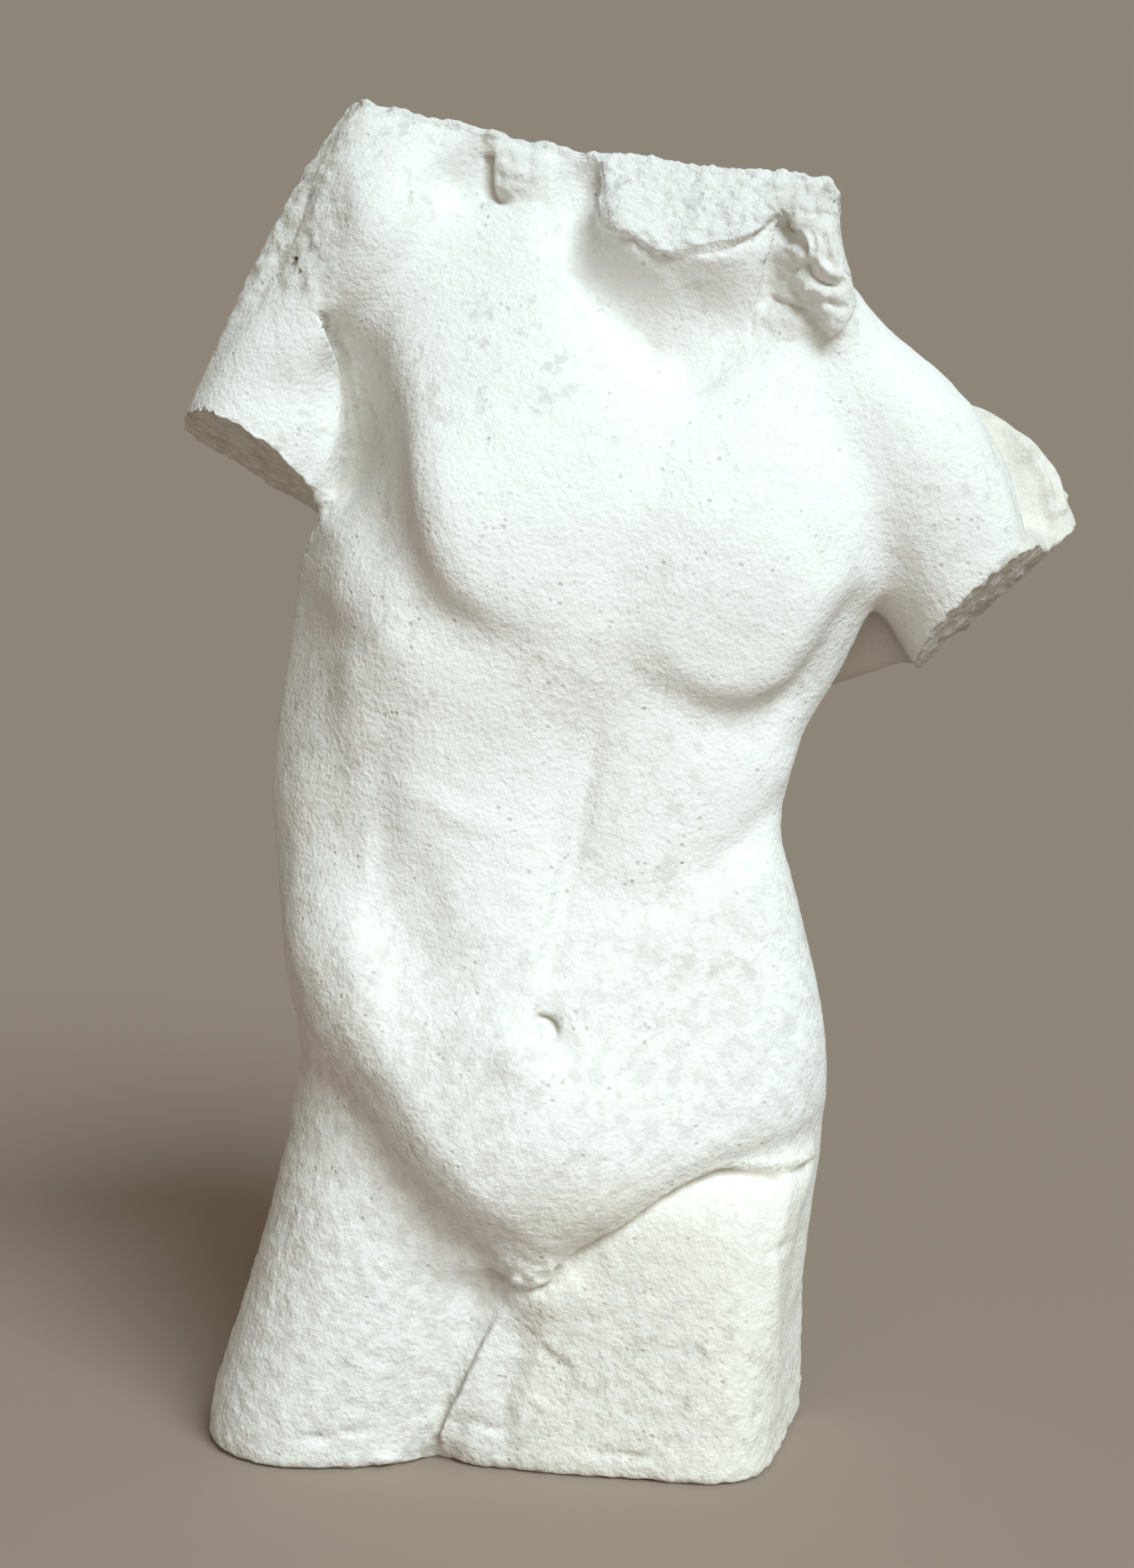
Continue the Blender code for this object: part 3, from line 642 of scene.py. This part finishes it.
def mark_zones(torso):
    """Keep what the plaster shows where, and the shade painted on it, as attributes of the mesh."""
    skin = Skin(torso)
    points = skin.points
    x, z = points[:, 0], points[:, 2]
    thigh = smooth_step(0.5, 3.5, x) * smooth_step(24.5, 20, z - 0.1 * x)
    wing = on_wing(points, 0.5)
    broken = broken_share(points, skin.normals)
    limbs = (x < -12.6) & (z < 80) | (x > 30)
    # beige on the hair, the wing and the pitted shoulder; on the broken faces of the arms and on
    # the wing it is also painted shade
    beige_and_shade = broken * np.where(limbs, 1, 0.1) + 0.4 * near_hair(points) + 0.6 * wing
    beige_and_shade += 0.45 * on_pitted_shoulder(points)
    zones = {
        "broken": broken,
        "beige_and_shade": np.clip(beige_and_shade, 0, 1),
        # the hollow zone is painted shade in the hollows, under the left arm and in the right
        # armpit
        "hollow": recess_shade_share(torso, skin),
        "cream": np.clip(thigh * skin.facing(-1) + wing, 0, 1),
        "mottled": smooth_step(52, 32, z - 0.1 * x) * (1 - 0.5 * thigh),
    }
    for name, share in zones.items():
        layer = torso.data.attributes.new(name, "FLOAT", "POINT")
        layer.data.foreach_set("value", share.astype(np.float32))


# ---- The plaster ----

# Sockets of a Mix node that mixes colours
MIX_SHARE, MIX_FIRST, MIX_SECOND, MIX_RESULT = 0, 6, 7, 2


class Value:
    """A socket's output, with sums written as Python expressions."""

    def __init__(self, shader, socket):
        self.shader = shader
        self.socket = socket

    def math(self, operation, *others):
        inputs = {0: self}
        inputs.update({place + 1: other for place, other in enumerate(others)})
        return self.shader.node("ShaderNodeMath", {"operation": operation}, inputs)

    def __add__(self, other):
        return self.math("ADD", other)

    def __mul__(self, other):
        return self.math("MULTIPLY", other)

    def __sub__(self, other):
        return self.math("SUBTRACT", other)

    def __rsub__(self, other):
        return self.shader.node("ShaderNodeMath", {"operation": "SUBTRACT"}, {0: other, 1: self})

    __radd__ = __add__
    __rmul__ = __mul__


class Shader:
    """The nodes of one material."""

    def __init__(self, name):
        self.material = bpy.data.materials.new(name)
        self.material.use_nodes = True
        self.tree = self.material.node_tree
        self.surface = self.tree.nodes["Principled BSDF"]

    def node(self, kind, settings=None, inputs=None, output=0):
        """Add a node: its settings first, then the values or links of its sockets."""
        node = self.tree.nodes.new(kind)
        for name, value in (settings or {}).items():
            setattr(node, name, value)
        for name, value in (inputs or {}).items():
            self.join(node.inputs[name], value)
        return Value(self, node.outputs[output])

    def join(self, socket, value):
        """Link a value to a socket, or set a constant on it."""
        if isinstance(value, Value):
            self.tree.links.new(value.socket, socket)
        else:
            socket.default_value = value

    def between(self, low, high, value):
        """A value spread from 0 at low to 1 at high."""
        return self.node("ShaderNodeMapRange", {"interpolation_type": "SMOOTHSTEP"},
                         {"Value": value, "From Min": low, "From Max": high})

    def tint(self, share, first, second):
        """One colour turning to another by a share."""
        return self.node("ShaderNodeMix", {"data_type": "RGBA"},
                         {MIX_SHARE: share, MIX_FIRST: first, MIX_SECOND: second},
                         output=MIX_RESULT)


def make_plaster():
    plaster = Shader("Plaster")
    place = plaster.node("ShaderNodeTexCoord", output="Object")

    def mottle(scale, detail=2, roughness=0.5):
        return plaster.node("ShaderNodeTexNoise", None, {
            "Vector": place, "Scale": scale, "Detail": detail, "Roughness": roughness})

    def zone(name):
        return plaster.node("ShaderNodeAttribute", {"attribute_name": name}, output="Fac")

    broken = zone("broken")
    beige_and_shade = zone("beige_and_shade")
    # the hollow zone holds painted shade
    hollow = zone("hollow")
    cream = zone("cream")
    mottled = zone("mottled")

    clouds = mottle(9, 3)
    patches = mottle(95, 4, 0.62)
    blots = mottle(135, 4, 0.6)
    grain = mottle(420, 2, 0.55)
    coarse = mottle(200, 2, 0.5)
    crumbs = mottle(620, 3, 0.7)
    pits = plaster.node("ShaderNodeTexVoronoi", {"feature": "F1"},
                        {"Vector": place, "Scale": 210})
    pit_choice = mottle(70, 1)
    pit = (1 - plaster.between(0.10, 0.30, pits)) * plaster.between(0.54, 0.68, pit_choice)
    height = coarse * 0.45 + grain * 0.6 - pit * 0.3 + broken * crumbs * 0.9

    white = (0.86, 0.85, 0.83, 1)
    warm = (0.82, 0.795, 0.75, 1)
    ivory = (0.87, 0.845, 0.775, 1)
    grey = (0.60, 0.575, 0.53, 1)
    beige = (0.60, 0.56, 0.49, 1)
    # a brown for painted shade in the hollows and pits
    shade_brown = (0.42, 0.36, 0.28, 1)
    colour = plaster.tint(plaster.between(0.35, 0.7, clouds) * 0.5, white, warm)
    colour = plaster.tint(cream * 0.8, colour, ivory)
    spots = plaster.between(0.54, 0.64, patches) * plaster.between(0.40, 0.62, clouds)
    colour = plaster.tint(spots * 0.55, colour, grey)
    mottles = mottled * (plaster.between(0.45, 0.60, blots) * 0.36 + 0.07)
    colour = plaster.tint(mottles, colour, grey)
    # the beige tint, partly painted shade on the arm breaks and the wing
    beige_and_shade_share = beige_and_shade * (plaster.between(0.3, 0.7, patches) * 0.45 + 0.45)
    colour = plaster.tint(beige_and_shade_share, colour, beige)
    # painted shade: the hollows turn towards brown
    recess_shade = plaster.between(0.60, 0.95, hollow)
    colour = plaster.tint(recess_shade * 0.5, colour, shade_brown)
    # painted shade in the pits
    colour = plaster.tint(pit * 0.35, colour, shade_brown)
    colour = plaster.tint((1 - plaster.between(0.30, 0.50, grain)) * 0.12, colour, grey)

    plaster.join(plaster.surface.inputs["Base Color"], colour)
    plaster.join(plaster.surface.inputs["Roughness"], patches * 0.12 + 0.82)
    plaster.join(plaster.surface.inputs["Specular IOR Level"], 0.35)
    relief = plaster.node("ShaderNodeBump", None,
                          {"Strength": 1.0, "Distance": 0.0012, "Height": height})
    plaster.join(plaster.surface.inputs["Normal"], relief)
    return plaster.material


# ---- Camera, floor and light ----

# Where the eye is, in metres, and its turn in degrees
EYE = (0.034, -1.07, 0.42)
EYE_TURN = (85.1, 0, 0)
LENS = 50
FILM_HEIGHT = 36

# The warm light of the room, and the window's cooler light with its direction in degrees
ROOM_LIGHT = (0.27, 0.235, 0.19)
WINDOW_LIGHT = (2.48, 3.01, 3.20)
WINDOW_ACROSS = 30
WINDOW_UP = 39
WINDOW_WIDTH = 32

# The light that the table throws back, from a square in front of it
BOUNCE_LIGHT = (1.0, 0.95, 0.88)
BOUNCE_ENERGY = 0.78
BOUNCE_SIZE = 0.9
BOUNCE_SPREAD = 76
BOUNCE_PLACE = (0.1, -1.1, 0.12)
BOUNCE_TURN = (86, 0, 4)

FLOOR_SIZE = 40


def in_radians(*degrees):
    return tuple(map(math.radians, degrees))


def put(name, data, turn, place=(0, 0, 0)):
    """Put a camera or a light in the scene."""
    holder = bpy.data.objects.new(name, data)
    holder.location = place
    holder.rotation_euler = turn
    bpy.context.scene.collection.objects.link(holder)
    return holder


def make_camera():
    camera = bpy.data.cameras.new("Camera")
    camera.sensor_fit = "VERTICAL"
    camera.sensor_height = FILM_HEIGHT
    camera.lens = LENS
    bpy.context.scene.camera = put("Camera", camera, in_radians(*EYE_TURN), EYE)


def make_floor():
    """A floor as bright as the room behind it, so that no edge shows between them."""
    clear_selection()
    bpy.ops.mesh.primitive_plane_add(size=FLOOR_SIZE)
    floor = bpy.context.object
    floor.name = "Floor"
    shader = Shader("Pale floor")
    lit = math.sin(math.radians(WINDOW_UP)) / math.pi
    tone = [room / (room + window * lit) for room, window in zip(ROOM_LIGHT, WINDOW_LIGHT)]
    shader.join(shader.surface.inputs["Base Color"], (*tone, 1))
    shader.join(shader.surface.inputs["Roughness"], 1.0)
    shader.join(shader.surface.inputs["Specular IOR Level"], 0.0)
    floor.data.materials.append(shader.material)


def make_window():
    """The soft light of a large window from the upper right."""
    window = bpy.data.lights.new("Window", "SUN")
    window.energy = max(WINDOW_LIGHT)
    window.color = [share / max(WINDOW_LIGHT) for share in WINDOW_LIGHT]
    window.angle = math.radians(WINDOW_WIDTH)
    across, up = in_radians(WINDOW_ACROSS, WINDOW_UP)
    way = Vector((math.sin(across) * math.cos(up), -math.cos(across) * math.cos(up),
                  math.sin(up)))
    put("Window", window, way.to_track_quat("Z", "Y").to_euler())


def make_bounce():
    bounce = bpy.data.lights.new("Table bounce", "AREA")
    bounce.energy = BOUNCE_ENERGY
    bounce.size = BOUNCE_SIZE
    bounce.spread = math.radians(BOUNCE_SPREAD)
    bounce.color = BOUNCE_LIGHT
    put("Table bounce", bounce, in_radians(*BOUNCE_TURN), BOUNCE_PLACE)


def make_room():
    """The even light of the room, and plain colours in the picture."""
    world = bpy.data.worlds.new("Room")
    world.use_nodes = True
    room = world.node_tree.nodes["Background"]
    room.inputs["Color"].default_value = (*ROOM_LIGHT, 1)
    room.inputs["Strength"].default_value = 1.0
    bpy.context.scene.world = world
    bpy.context.scene.view_settings.view_transform = "Standard"


make_camera()
torso = make_torso()
mark_zones(torso)
torso.data.materials.clear()
torso.data.materials.append(make_plaster())
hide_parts("torso")
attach(torso, "root")
make_floor()
make_window()
make_bounce()
make_room()
